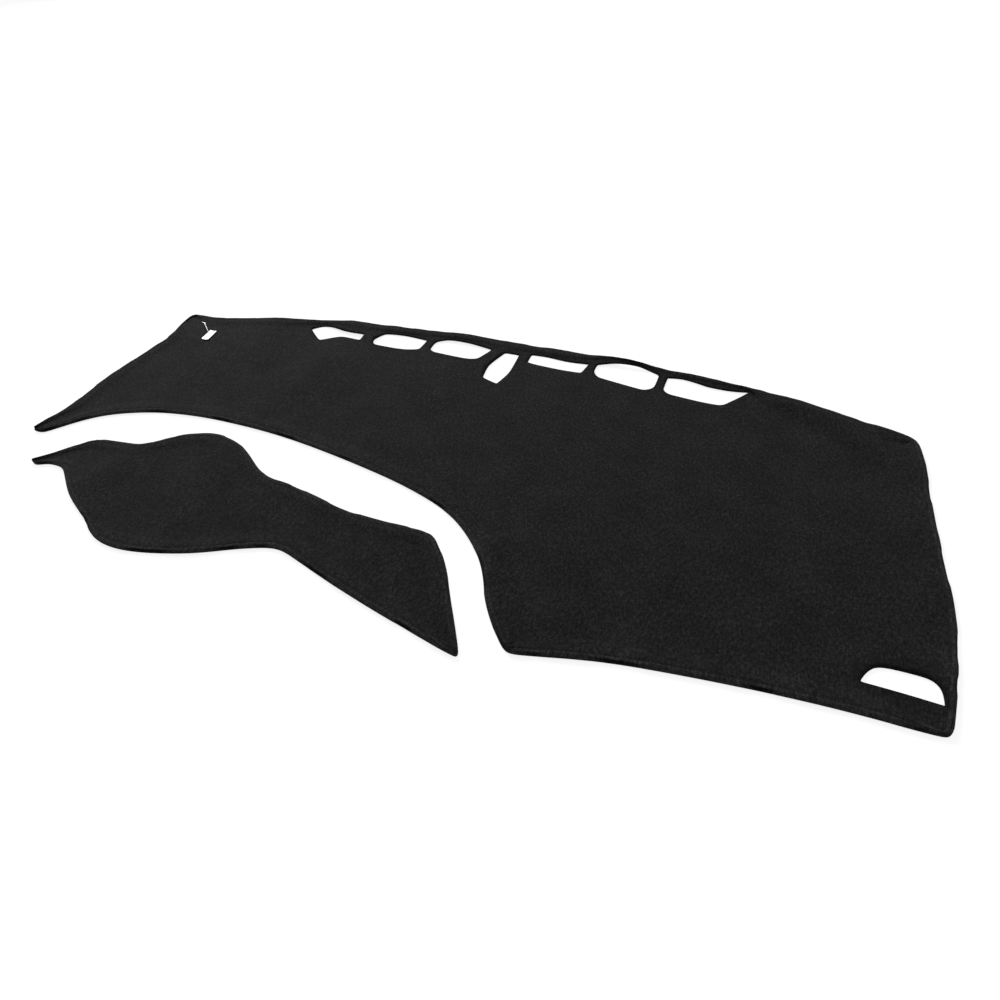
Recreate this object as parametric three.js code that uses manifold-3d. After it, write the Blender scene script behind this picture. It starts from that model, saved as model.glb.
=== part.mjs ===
// A two-piece dashboard cover mat of black felt, lying flat on a floor.
// Units are millimetres. X runs across the car, +Y towards the windscreen and +Z up. The outlines are
// given from the middle of the dashboard, and the finished part stands on z = 0 about its own middle.

import * as THREE from 'three';
import Module from 'manifold-3d';
import { mergeVertices } from 'three/addons/utils/BufferGeometryUtils.js';

const wasm = await Module();
wasm.setup();

// Felt and hem

const feltThickness = 2.8;
const foldGap = 0.4; // between the sheet and the strip turned under it
const hemWidth = 15; // how far the strip turned under reaches in from the edge
const hemRamp = 14; // over which the sheet comes down to the floor inside the hem
const rampShoulder = 0.4; // share of the ramp that stays high
const rampShoulderHeight = 0.8; // share of the ramp's height that is left there
const seamInset = 9.5; // from the edge to the row of stitches
const seamGrooveWidth = 3;
const seamGrooveDepth = 0.8;
const hemRollLength = 5; // the rounded edge of the fold, seen from above
const rollShoulder = 0.3; // share of the roll where its face turns from steep to flat
const rollShoulderDrop = 0.7; // below the hem's top there
const foldShare = 0.65; // of a narrowed hem that the fold keeps, before the ramp
const leastReach = 2; // of the hem and its ramp in a narrow tip
const leastInnerShare = 0.35; // of an edge's length that is left at the hem's inner side
const holeMargin = 3; // flat felt left between a hem and an opening beside it

// Main sheet. Its edges run from corner to corner, through points between them.

const mainHalfWidth = 718;
const rearCrownY = 311;
const rearCornerInset = 33; // from the widest place
const rearCornerY = 226;
const rearCornerRound = 24;
const rearLeftCornerInset = 36;
const rearLeftCornerRise = 10; // over the right one
const frontCornerInset = 13;
const frontCornerY = -274;
const frontCornerRound = 14;
const noseX = 223;
const noseY = -327;
const noseRound = 20;
const driverTipInset = 6;
const driverTipY = -165;
const driverTipRound = 12;
const driverTipWidth = 28;
const driverTipHeelRound = 9;
const cutoutRoofX = -380;
const cutoutRoofY = -48;

// Points of an edge as [share of the way across, share of the way along]
const rearEdge = [[0.13, 0.01], [0.26, 0.05], [0.39, 0.12], [0.52, 0.21], [0.64, 0.37],
  [0.77, 0.59], [0.885, 0.81]];
const rearLeftEdge = [[0.13, 0.01], [0.26, 0.05], [0.39, 0.12], [0.52, 0.22], [0.64, 0.4],
  [0.77, 0.63], [0.885, 0.84]];
const frontEdge = [[0.22, 0.49], [0.47, 0.785], [0.74, 0.965]];
const cutoutLeftEdge = [[0.205, 0.54], [0.46, 0.84], [0.72, 0.97]];
const cutoutRightEdge = [[0.18, 0.02], [0.38, 0.085], [0.6, 0.19], [0.755, 0.325], [0.863, 0.545],
  [0.922, 0.785]];

// Points of a side as [inset from the widest place, share of the way to the rear corner]
const rightSide = [[3, 0.17], [0, 0.33], [9, 0.525], [18, 0.7], [23, 0.87]];
const leftSide = [[24, 0.19], [23, 0.36], [34, 0.575], [46, 0.785]];

// Instrument hood sheet

const hoodShoulderX = 58;
const hoodShoulderY = -169;
const hoodShoulderRound = 24;
const hoodCrownX = -376;
const hoodCrownY = -79;
const hoodTailX = -646;
const hoodTailY = -227;
const hoodTailWidth = 17;
const hoodTailSlant = 8;
const hoodTailRound = 8;
const hoodCheekAcross = 68; // the corner over the tail, from the tail's end
const hoodCheekRise = 78;
const hoodCheekRound = 19;
const hoodBrowAcross = 88; // the hollow between that corner and the crown, from the corner
const hoodBrowRise = 6;
const hoodBrowRound = 14;
const hoodChinAcross = 72; // the hollow under the tail, from the tail's end
const hoodChinRound = 10;
const hoodBowX = -345;
const hoodBowY = -338;
const hoodWaistX = -138;
const hoodWaistY = -264;
const hoodWaistRound = 20;
const hoodTipX = 177;
const hoodTipY = -350;
const hoodTipRound = 18;

const hoodTopEdge = [[0.17, -0.075], [0.35, 0.01], [0.53, 0.2], [0.7, 0.32], [0.8, 0.63],
  [0.895, 0.9]];
const hoodCrownEdge = [[0.43, 0.19], [0.72, 0.56]];
const hoodCheekEdge = [[0.62, 0.71]];
const hoodChinEdge = [[0.43, 1.35]];
const hoodBowEdge = [[0.25, 0.42], [0.5, 0.695], [0.73, 0.97]];
const hoodWaistEdge = [[0.42, 0.31], [0.75, 0.73]];
const hoodFrontEdge = [[0.28, 0.34], [0.63, 0.69]];
const hoodTipEdge = [[0.32, 0.36], [0.65, 0.73]];

// Openings: how far in from the rear edge the middle of each one is, and its corners from there, as
// [across, along, rounding]

const vents = [
  {
    x: -341, setback: 47,
    corners: [[-62, 6, 6], [-22, -29, 9], [14, -9, 10], [60, -12, 7], [56, 13, 5], [14, 10, 14],
      [-22, 24, 12], [-46, 21, 8]],
  },
  {
    x: -210, setback: 48,
    corners: [[-51, -4, 8], [-44, -22, 8], [20, -22, 10], [51, -14, 8], [53, 20, 5], [10, 25, 14],
      [-38, 21, 9]],
  },
  {
    x: -85, setback: 48,
    corners: [[-56, -12, 8], [-46, -22, 9], [22, -28, 9], [44, -22, 9], [60, 17, 5], [14, 25, 16],
      [-36, 25, 9], [-55, 14, 8]],
  },
  {
    x: 102, setback: 41,
    corners: [[-53, -10, 5], [-42, -13, 6], [10, -17, 8], [50, -17, 7], [56, 15, 4], [14, 11, 10],
      [-26, 18, 10], [-53, 16, 4]],
  },
  {
    x: 227, setback: 36,
    corners: [[-56, -4, 8], [-46, -19, 9], [40, -35, 9], [55, -24, 9], [56, 17, 7], [24, 28, 12],
      [-24, 26, 10], [-55, 18, 6]],
  },
  {
    x: 358, setback: 37,
    corners: [[-61, -12, 6], [-52, -22, 8], [10, -30, 8], [38, -30, 9], [77, 17, 3], [18, 13, 14],
      [-36, 28, 8], [-60, 25, 3]],
  },
];
const centreOpening = {
  x: 8, setback: 80,
  corners: [[-20, -38, 6], [12, -50, 6], [22, -12, 8], [20, 47, 4], [-8, 47, 5], [-24, 0, 10]],
};

// Half-moon opening by the passenger's front corner
const halfMoonInset = 61; // from the widest place to its middle
const halfMoonRise = 42.5; // of its left foot over the front corner
const halfMoonWidth = 86;
const halfMoonDepth = 29.5;
const halfMoonSlant = 3; // its right foot is lower than its left one
const halfMoonLeftLean = 12; // of its left shoulder, inwards
const halfMoonRightLean = 2;
const halfMoonCrownRound = 20;
const halfMoonFootRound = 3;

// Tag: a blank white label, held by a nylon pin that has a paddle under the felt and a bar on top

const labelInset = 130; // from the widest place to its middle
const labelSetback = 54; // from the rear corner
const labelTurn = 4; // degrees
const labelLength = 31;
const labelWidth = 15;
const labelThickness = 0.6;
const labelRound = 1;
const labelLift = 0.4; // clear of the felt
const pinHoleInset = 3.5; // from the label's long edge
const pinHoleAlong = 5; // from the label's middle towards the windscreen
const filamentDiameter = 1;
const pinClearance = 0.3; // round the filament, and between the pin and the felt
const paddleLength = 8;
const paddleWidth = 5;
const paddleThickness = 0.8;
const barLength = 12;
const barDiameter = 1.6;
const barInset = 86; // from the widest place to its middle
const barSetback = 15; // from the rear corner
const barTurn = -18; // degrees
const loopHeight = 5; // how high the filament stands over the label
const loopRoute = [[0.12, 0.7], [0.4, 1], [0.75, 0.55]]; // [share of the way, share of that height]

const labelX = -(mainHalfWidth - labelInset);
const labelY = rearCornerY - labelSetback;
const barX = -(mainHalfWidth - barInset);
const barY = rearCornerY - barSetback;

// Waves: each is a ridge along a line, with its middle, half width, half length and height. The felt
// stays low enough that nothing stands over the openings' edges.

const mainWaves = [
  { x: -480, y: 190, turn: 4, halfWidth: 85, halfLength: 180, height: 4.6 },
  { x: -300, y: 180, turn: 3, halfWidth: 75, halfLength: 185, height: 6.4 },
  { x: -90, y: 215, turn: -6, halfWidth: 100, halfLength: 190, height: 3.4 },
  { x: 222, y: 330, turn: 0, halfWidth: 80, halfLength: 75, height: 5 },
  { x: 520, y: 290, turn: 66, halfWidth: 80, halfLength: 250, height: 4.9 },
  { x: 150, y: -150, turn: -8, halfWidth: 26, halfLength: 65, height: 3.4 },
  { x: labelX, y: labelY, turn: 0, halfWidth: 60, halfLength: 60, height: 2.6 },
];
const hoodWaves = [
  { x: -500, y: -225, turn: -12, halfWidth: 75, halfLength: 105, height: 4.4 },
  { x: -330, y: -180, turn: 10, halfWidth: 65, halfLength: 145, height: 3.4 },
  { x: -5, y: -225, turn: 28, halfWidth: 70, halfLength: 90, height: 5 },
];

// Mesh

const edgeStep = 30; // longest step along an edge
const edgeTurn = 17; // degrees, the largest turn in one step
const fieldStep = 32; // between points inside a sheet
const fieldMargin = 0.55; // share of that step kept clear along the edges
const curveStep = 6; // between points along a curved edge, before the stations are chosen
const cornerShare = 0.96; // of an edge's length that its two rounded corners take at most
const reachShare = 0.97; // of a hem's reach that stays clear of the hem across from it
const reachStep = 1; // by which a hem's reach is narrowed
const openingSides = 8; // of a pin's hole
const barSides = 10;
const filamentSteps = 22;

// Colours

const feltLook = { color: 0x1f1f20, roughness: 0.95, metalness: 0 };
const nylonLook = { color: 0xe9e9ea, roughness: 0.4, metalness: 0 };
const cardLook = { color: 0xf6f6f6, roughness: 0.7, metalness: 0 };

const degrees = Math.PI / 180;

// Outlines

// A closed outline. A point [x, y] is passed smoothly, and a point [x, y, round] is a corner that is
// rounded off over that many millimetres on both sides.
function outlineCurve(points) {
  const first = points.findIndex((p) => p.length === 3);
  const loop = [...points.slice(first), ...points.slice(0, first + 1)];
  const stretches = [];
  let from = 0;
  for (let i = 1; i < loop.length; i += 1) {
    if (loop[i].length === 3) {
      const through = loop.slice(from, i + 1).map(([x, y]) => new THREE.Vector2(x, y));
      const curve = through.length === 2 ? new THREE.LineCurve(...through) : new THREE.SplineCurve(through);
      stretches.push({ curve, startRound: loop[from][2], endRound: loop[i][2] });
      from = i;
    }
  }
  const path = new THREE.CurvePath();
  const ends = stretches.map(({ curve, startRound, endRound }) => {
    const length = curve.getLength();
    const room = Math.min(1, (cornerShare * length) / (startRound + endRound));
    return [(startRound * room) / length, 1 - (endRound * room) / length];
  });
  stretches.forEach(({ curve }, i) => {
    const next = (i + 1) % stretches.length;
    const [start, end] = ends[i];
    const straight = curve.isLineCurve;
    const count = straight ? 1 : Math.ceil(curve.getLength() / curveStep);
    for (let k = 0; k < count; k += 1) {
      const at = (s) => curve.getPointAt(start + ((end - start) * s) / count);
      path.add(new THREE.LineCurve(at(k), at(k + 1)));
    }
    const corner = curve.getPointAt(1);
    const after = stretches[next].curve.getPointAt(ends[next][0]);
    path.add(new THREE.QuadraticBezierCurve(curve.getPointAt(end), corner, after));
  });
  return path;
}

// Points on the way from one corner to another.
function between(from, to, shares) {
  return shares.map(([across, along]) => [
    THREE.MathUtils.lerp(from[0], to[0], across),
    THREE.MathUtils.lerp(from[1], to[1], along),
  ]);
}

// The stations of an outline: few where it runs straight, and more where it turns.
function stations(path) {
  const fine = [];
  path.curves.forEach((curve) => {
    const count = curve.isLineCurve ? 1 : 8;
    for (let k = 0; k < count; k += 1) fine.push(curve.getPoint(k / count));
  });
  const kept = [fine[0]];
  let run = 0;
  let turned = 0;
  for (let i = 1; i < fine.length; i += 1) {
    const before = fine[i].clone().sub(fine[i - 1]);
    const after = fine[(i + 1) % fine.length].clone().sub(fine[i]);
    run += before.length();
    turned += Math.abs(Math.atan2(before.cross(after), before.dot(after))) / degrees;
    const next = after.length();
    if (turned > edgeTurn || run + next > edgeStep) {
      kept.push(fine[i]);
      run = 0;
      turned = 0;
    }
  }
  return kept;
}

// Unit vectors to the left of an outline's direction, which is inward on one that turns left.
function inwardNormals(points) {
  return points.map((p, i) => {
    const before = points[(i + points.length - 1) % points.length];
    const after = points[(i + 1) % points.length];
    const a = p.clone().sub(before).normalize();
    const b = after.clone().sub(p).normalize();
    const along = a.add(b).normalize();
    return new THREE.Vector2(-along.y, along.x);
  });
}

function distanceToLoop(point, loop) {
  let least = Infinity;
  loop.forEach((a, i) => {
    const b = loop[(i + 1) % loop.length];
    const side = b.clone().sub(a);
    const t = THREE.MathUtils.clamp(point.clone().sub(a).dot(side) / side.lengthSq(), 0, 1);
    least = Math.min(least, point.distanceTo(a.clone().addScaledVector(side, t)));
  });
  return least;
}

function insideLoop(point, loop) {
  let inside = false;
  loop.forEach((a, i) => {
    const b = loop[(i + 1) % loop.length];
    const crosses = a.y > point.y !== b.y > point.y;
    if (crosses && point.x < ((b.x - a.x) * (point.y - a.y)) / (b.y - a.y) + a.x) inside = !inside;
  });
  return inside;
}

// How far the hem and its ramp reach in at each station. They are narrower where they would meet the
// hem from the other side of a narrow place, or an opening.
function hemReaches(outline, normals, openings) {
  const full = hemWidth + hemRamp;
  const tip = (i, reach) => outline[i].clone().addScaledVector(normals[i], reach);
  const narrowed = outline.map((_, i) => {
    let reach = full;
    const clear = () => distanceToLoop(tip(i, reach), outline) > reachShare * reach
      && openings.every((hole) => !insideLoop(tip(i, reach), hole)
        && distanceToLoop(tip(i, reach), hole) > holeMargin);
    while (reach > leastReach && !clear()) reach -= reachStep;
    return reach;
  });
  const reaches = narrowed.map((reach, i) => Math.min(reach, narrowed.at(i - 1),
    narrowed[(i + 1) % narrowed.length]));
  outline.forEach((station, i) => {
    const j = (i + 1) % outline.length;
    const near = openings.flat().filter((p) => p.distanceTo(station) < full + 2 * edgeStep);
    const fits = () => {
      const from = tip(i, reaches[i]);
      const side = tip(j, reaches[j]).sub(from);
      const edge = outline[j].clone().sub(station);
      const inOrder = side.dot(edge) > leastInnerShare * edge.lengthSq();
      return inOrder && near.every((p) => {
        const toPoint = p.clone().sub(from);
        const along = toPoint.dot(side) / side.lengthSq();
        const clearance = side.cross(toPoint) / side.length();
        return along < 0 || along > 1 || clearance > holeMargin;
      });
    };
    while (Math.max(reaches[i], reaches[j]) > leastReach && !fits()) {
      reaches[i] = Math.max(leastReach, reaches[i] - reachStep / 2);
      reaches[j] = Math.max(leastReach, reaches[j] - reachStep / 2);
    }
  });
  return reaches;
}

// Waves of the sheet: a ridge is a smooth hump that ends in flat felt all round.
function waveHeight(waves, x, y) {
  const hump = (s) => (Math.abs(s) >= 1 ? 0 : (1 - s * s) ** 2);
  return waves.reduce((sum, wave) => {
    const c = Math.cos(wave.turn * degrees);
    const s = Math.sin(wave.turn * degrees);
    const across = c * (x - wave.x) + s * (y - wave.y);
    const along = -s * (x - wave.x) + c * (y - wave.y);
    return sum + wave.height * hump(across / wave.halfWidth) * hump(along / wave.halfLength);
  }, 0);
}

// Triangles

// Fills a loop with openings with well-shaped triangles through the given inside points. Every edge of
// the loops stays an edge of the result.
function fillRegion(loop, openings, inside) {
  const points = [...loop, ...openings.flat(), ...inside];
  const owner = new Map(); // from an edge of a triangle to the triangle's third point
  const key = (a, b) => a * points.length + b;
  const ends = (edge) => [Math.floor(edge / points.length), edge % points.length];
  const put = (a, b, c) => {
    [[a, b, c], [b, c, a], [c, a, b]].forEach(([p, q, r]) => owner.set(key(p, q), r));
  };
  const drop = (a, b, c) => {
    [[a, b], [b, c], [c, a]].forEach(([p, q]) => owner.delete(key(p, q)));
  };
  const turns = (a, b, c) => {
    const [p, q, r] = [points[a], points[b], points[c]];
    return (q.x - p.x) * (r.y - p.y) - (q.y - p.y) * (r.x - p.x);
  };
  const angleAt = (a, b, c) => {
    const p = points[a].clone().sub(points[c]);
    const q = points[b].clone().sub(points[c]);
    return Math.abs(Math.atan2(p.cross(q), p.dot(q)));
  };
  const settle = (a, b) => {
    const c = owner.get(key(a, b));
    const d = owner.get(key(b, a));
    if (c === undefined || d === undefined) return;
    const crowded = angleAt(a, b, c) + angleAt(a, b, d) > Math.PI + 1e-6;
    if (!crowded || turns(a, d, c) <= 0 || turns(d, b, c) <= 0) return;
    drop(a, b, c);
    drop(b, a, d);
    put(a, d, c);
    put(d, b, c);
    [[a, d], [d, b], [b, c], [c, a]].forEach(([p, q]) => settle(p, q));
  };
  THREE.ShapeUtils.triangulateShape(loop, openings).forEach(([a, b, c]) => {
    if (turns(a, b, c) > 0) put(a, b, c);
    else put(a, c, b);
  });
  [...owner.keys()].forEach((edge) => settle(...ends(edge)));
  inside.forEach((point, i) => {
    const k = points.length - inside.length + i;
    for (const [edge, c] of owner) {
      const [a, b] = ends(edge);
      if (a < b && a < c && turns(a, b, k) > 0 && turns(b, c, k) > 0 && turns(c, a, k) > 0) {
        drop(a, b, c);
        put(a, b, k);
        put(b, c, k);
        put(c, a, k);
        [[a, b], [b, c], [c, a]].forEach(([p, q]) => settle(p, q));
        break;
      }
    }
  });
  const triangles = [];
  owner.forEach((c, edge) => {
    const [a, b] = ends(edge);
    if (a < b && a < c) triangles.push([a, b, c]);
  });
  return { points, triangles };
}

// Staggered rows of points inside a loop, clear of its edge and of the openings.
function fieldPoints(loop, openings) {
  const box = new THREE.Box2().setFromPoints(loop);
  const rowStep = fieldStep * Math.sin(60 * degrees);
  const found = [];
  for (let row = 0; box.min.y + row * rowStep < box.max.y; row += 1) {
    for (let x = box.min.x + (row % 2) * 0.5 * fieldStep; x < box.max.x; x += fieldStep) {
      const point = new THREE.Vector2(x, box.min.y + row * rowStep);
      const clear = [loop, ...openings].every((l) => distanceToLoop(point, l) > fieldMargin * fieldStep);
      if (clear && insideLoop(point, loop) && !openings.some((l) => insideLoop(point, l))) {
        found.push(point);
      }
    }
  }
  return found;
}

// Felt sheet

// The section of the hem as [inset, height], from the sheet's top face round the fold and back to the
// sheet's underside. The slit of the fold starts a felt's thickness inside the edge.
function hemSection() {
  const top = 2 * feltThickness + foldGap;
  const upper = feltThickness + foldGap;
  const shoulder = rollShoulder * hemRollLength;
  return [
    [hemWidth + rampShoulder * hemRamp, feltThickness + rampShoulderHeight * upper],
    [seamInset + seamGrooveWidth / 2, top],
    [seamInset, top - seamGrooveDepth],
    [seamInset - seamGrooveWidth / 2, top],
    [hemRollLength, top],
    [shoulder, top - rollShoulderDrop],
    [0, top / 2],
    [shoulder, rollShoulderDrop],
    [hemRollLength, 0],
    [hemWidth, 0],
    [hemWidth, feltThickness],
    [feltThickness, feltThickness],
    [feltThickness, upper],
    [hemWidth, upper],
  ];
}

function hemmedShell(edge, holes, waves) {
  const normals = inwardNormals(edge);
  const reaches = hemReaches(edge, normals, holes);
  const positions = [];
  const triangles = [];
  const addPoint = (x, y, z) => positions.push(x, y, z + waveHeight(waves, x, y)) / 3 - 1;
  const inset = (i, distance) => {
    const fold = Math.min(hemWidth, foldShare * reaches[i]);
    const onFold = (Math.min(distance, hemWidth) / hemWidth) * fold;
    const onRamp = (Math.max(distance - hemWidth, 0) / hemRamp) * (reaches[i] - fold);
    return edge[i].clone().addScaledVector(normals[i], onFold + onRamp);
  };

  const innerLoop = edge.map((_, i) => inset(i, hemWidth + hemRamp));
  const field = fillRegion(innerLoop, holes, fieldPoints(innerLoop, holes));
  const topOf = field.points.map(({ x, y }) => addPoint(x, y, feltThickness));
  const undersideOf = field.points.map(({ x, y }) => addPoint(x, y, 0));
  field.triangles.forEach(([a, b, c]) => {
    triangles.push(topOf[a], topOf[b], topOf[c]);
    triangles.push(undersideOf[a], undersideOf[c], undersideOf[b]);
  });

  // The hem joins the top face to the underside, all round.
  const rings = hemSection().map(([distance, z]) => edge.map((_, i) => {
    const { x, y } = inset(i, distance);
    return addPoint(x, y, z);
  }));
  const count = edge.length;
  const all = [topOf.slice(0, count), ...rings, undersideOf.slice(0, count)];
  for (let r = 0; r + 1 < all.length; r += 1) {
    for (let i = 0; i < count; i += 1) {
      const j = (i + 1) % count;
      const [a, b, c, d] = [all[r][i], all[r][j], all[r + 1][j], all[r + 1][i]];
      triangles.push(a, c, b, a, d, c);
    }
  }

  // Each opening is cut straight through the felt.
  let start = count;
  holes.forEach((hole) => {
    hole.forEach((_, i) => {
      const [a, b] = [start + i, start + ((i + 1) % hole.length)];
      triangles.push(topOf[a], topOf[b], undersideOf[b]);
      triangles.push(topOf[a], undersideOf[b], undersideOf[a]);
    });
    start += hole.length;
  });

  const geometry = new THREE.BufferGeometry();
  geometry.setAttribute('position', new THREE.Float32BufferAttribute(positions, 3));
  geometry.setIndex(triangles);
  geometry.computeVertexNormals();
  return geometry;
}

// Main sheet

const frontCorner = [mainHalfWidth - frontCornerInset, frontCornerY, frontCornerRound];
const rearCorner = [mainHalfWidth - rearCornerInset, rearCornerY, rearCornerRound];
const rearMiddle = [0, rearCrownY];
const rearRight = between(rearMiddle, rearCorner, rearEdge);

// Where the rear edge runs, at a distance from the middle.
function rearEdgeY(x) {
  const run = [rearMiddle, ...rearRight, rearCorner];
  const next = run.findIndex((point) => point[0] > Math.abs(x));
  const [[startX, startY], [endX, endY]] = [run[next - 1], run[next]];
  return THREE.MathUtils.mapLinear(Math.abs(x), startX, endX, startY, endY);
}

function mainOutline() {
  const leftCorner = [
    -(mainHalfWidth - rearLeftCornerInset), rearCornerY + rearLeftCornerRise, rearCornerRound,
  ];
  const driverTip = [-(mainHalfWidth - driverTipInset), driverTipY, driverTipRound];
  const driverTipHeel = [driverTip[0] + driverTipWidth, driverTipY, driverTipHeelRound];
  const cutoutRoof = [cutoutRoofX, cutoutRoofY];
  const nose = [noseX, noseY, noseRound];
  const right = rightSide.map(([inset, share]) => [
    mainHalfWidth - inset, THREE.MathUtils.lerp(frontCornerY, rearCornerY, share),
  ]);
  const left = leftSide.map(([inset, share]) => [
    -(mainHalfWidth - inset), THREE.MathUtils.lerp(driverTipY, leftCorner[1], share),
  ]);
  return [
    frontCorner,
    ...right,
    rearCorner,
    ...rearRight.toReversed(),
    rearMiddle,
    ...between(rearMiddle, [-rearCorner[0], rearCornerY], rearLeftEdge),
    leftCorner,
    ...left.toReversed(),
    driverTip,
    driverTipHeel,
    ...between(driverTipHeel, cutoutRoof, cutoutLeftEdge),
    cutoutRoof,
    ...between(cutoutRoof, nose, cutoutRightEdge),
    nose,
    ...between(nose, frontCorner, frontEdge),
  ];
}

function halfMoon() {
  const middle = mainHalfWidth - halfMoonInset;
  const foot = frontCornerY + halfMoonRise;
  const crown = foot + halfMoonDepth;
  const left = middle - halfMoonWidth / 2;
  const right = middle + halfMoonWidth / 2;
  return [
    [left, foot, halfMoonFootRound],
    [right, foot - halfMoonSlant, halfMoonFootRound],
    [right - halfMoonRightLean, crown, halfMoonCrownRound],
    [left + halfMoonLeftLean, crown, halfMoonCrownRound],
  ];
}

// An opening's corners run counter-clockwise, as a sheet's own outline does.
function openingOutline({ x, setback, corners }) {
  const y = rearEdgeY(x) - setback;
  return corners.map(([across, along, round]) => [x + across, y + along, round]);
}

// Hood sheet

function hoodOutline() {
  const shoulder = [hoodShoulderX, hoodShoulderY, hoodShoulderRound];
  const crown = [hoodCrownX, hoodCrownY];
  const tail = [hoodTailX, hoodTailY, hoodTailRound];
  const tailHeel = [hoodTailX + hoodTailWidth, hoodTailY - hoodTailSlant, hoodTailRound];
  const cheek = [hoodTailX + hoodCheekAcross, hoodTailY + hoodCheekRise, hoodCheekRound];
  const brow = [cheek[0] + hoodBrowAcross, cheek[1] + hoodBrowRise, hoodBrowRound];
  const chin = [hoodTailX + hoodChinAcross, hoodTailY, hoodChinRound];
  const bow = [hoodBowX, hoodBowY];
  const waist = [hoodWaistX, hoodWaistY, hoodWaistRound];
  const tip = [hoodTipX, hoodTipY, hoodTipRound];
  return [
    shoulder,
    ...between(shoulder, crown, hoodTopEdge),
    crown,
    ...between(crown, brow, hoodCrownEdge),
    brow,
    cheek,
    ...between(cheek, tail, hoodCheekEdge),
    tail,
    tailHeel,
    ...between(tailHeel, chin, hoodChinEdge),
    chin,
    ...between(chin, bow, hoodBowEdge),
    bow,
    ...between(bow, waist, hoodWaistEdge),
    waist,
    ...between(waist, tip, hoodFrontEdge),
    tip,
    ...between(tip, shoulder, hoodTipEdge),
  ];
}

// Tag

const labelFrame = new THREE.Matrix4()
  .makeRotationZ(labelTurn * degrees)
  .setPosition(labelX, labelY, 0);
const pinHole = new THREE.Vector3(-labelWidth / 2 + pinHoleInset, pinHoleAlong, 0)
  .applyMatrix4(labelFrame);
const filamentRadius = filamentDiameter / 2;
const pinHoleRadius = filamentRadius + pinClearance;

function roundHole(centre, radius) {
  return Array.from({ length: openingSides }, (_, i) => {
    const angle = ((i + 0.5) / openingSides) * 2 * Math.PI;
    return new THREE.Vector2(centre.x + radius * Math.cos(angle), centre.y + radius * Math.sin(angle));
  });
}

function cornersOf(length, width, round) {
  const [x, y] = [length / 2, width / 2];
  return [[-x, -y, round], [x, -y, round], [x, y, round], [-x, y, round]];
}

function feltTop(x, y) {
  return feltThickness + waveHeight(mainWaves, x, y);
}

// Heights of the felt's top face at the middle and the corners of a rectangle.
function feltTopsUnder(length, width, frame) {
  return [[0, 0], ...cornersOf(length, width)].map(([x, y]) => {
    const spot = new THREE.Vector3(x, y, 0).applyMatrix4(frame);
    return feltTop(spot.x, spot.y);
  });
}

// The label lies flat on the crest of a wave, clear of the felt all over.
function labelUnderside() {
  return Math.max(...feltTopsUnder(labelWidth, labelLength, labelFrame)) + labelLift;
}

function labelGeometry() {
  const outline = outlineCurve(cornersOf(labelWidth, labelLength, labelRound)).getPoints(2);
  const shape = new THREE.Shape(outline.slice(0, -1));
  const hole = pinHole.clone().applyMatrix4(labelFrame.clone().invert());
  shape.holes.push(new THREE.Path(roundHole(hole, pinHoleRadius)));
  const geometry = new THREE.ExtrudeGeometry(shape, { depth: labelThickness, bevelEnabled: false });
  return geometry.applyMatrix4(labelFrame).translate(0, 0, labelUnderside());
}

function toSolid(geometry) {
  geometry.deleteAttribute('normal');
  geometry.deleteAttribute('uv');
  const merged = mergeVertices(geometry, 1e-4);
  return new wasm.Manifold(new wasm.Mesh({
    numProp: 3,
    vertProperties: new Float32Array(merged.attributes.position.array),
    triVerts: new Uint32Array(merged.index.array),
  }));
}

function toGeometry(solid) {
  const { vertProperties, triVerts } = solid.getMesh();
  const geometry = new THREE.BufferGeometry();
  geometry.setAttribute('position', new THREE.BufferAttribute(vertProperties, 3));
  geometry.setIndex(new THREE.BufferAttribute(triVerts, 1));
  geometry.computeVertexNormals();
  return geometry;
}

// The pin's filament rises from the paddle through the felt and the label, and bends over to the bar,
// which lies loose on the felt.
function pinGeometry() {
  const paddleFrame = new THREE.Matrix4().setPosition(pinHole.x, pinHole.y, 0);
  const barFrame = new THREE.Matrix4().makeRotationZ(barTurn * degrees).setPosition(barX, barY, 0);
  const overPaddle = Math.min(...feltTopsUnder(paddleWidth, paddleLength, paddleFrame));
  const underBar = Math.max(...feltTopsUnder(barLength, barDiameter, barFrame));
  const paddleZ = overPaddle - feltThickness - pinClearance - paddleThickness / 2;
  const labelTop = labelUnderside() + labelThickness;
  const barZ = underBar + pinClearance + barDiameter / 2;
  const bar = new THREE.Vector3(barX, barY, barZ);
  const away = bar.clone().sub(pinHole).setZ(0);
  const loop = loopRoute.map(([share, rise]) => pinHole.clone()
    .addScaledVector(away, share)
    .setZ(labelTop + rise * loopHeight));
  const route = new THREE.CatmullRomCurve3([
    pinHole.clone().setZ(paddleZ),
    pinHole.clone().setZ(labelTop),
    ...loop,
    bar,
  ]);
  const section = new THREE.Shape(roundHole(new THREE.Vector3(), filamentRadius));
  const filament = new THREE.ExtrudeGeometry(section, { steps: filamentSteps, extrudePath: route });
  const paddle = new THREE.BoxGeometry(paddleWidth, paddleLength, paddleThickness)
    .translate(pinHole.x, pinHole.y, paddleZ);
  const barBody = new THREE.CylinderGeometry(barDiameter / 2, barDiameter / 2, barLength, barSides)
    .rotateZ((90 + barTurn) * degrees)
    .translate(bar.x, bar.y, bar.z);
  return toGeometry(toSolid(filament).add(toSolid(paddle)).add(toSolid(barBody)));
}

// Pieces

const part = new THREE.Group();

function addPiece(name, geometry, look) {
  const mesh = new THREE.Mesh(geometry, new THREE.MeshStandardMaterial(look));
  mesh.name = name;
  part.add(mesh);
  return mesh;
}

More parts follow.
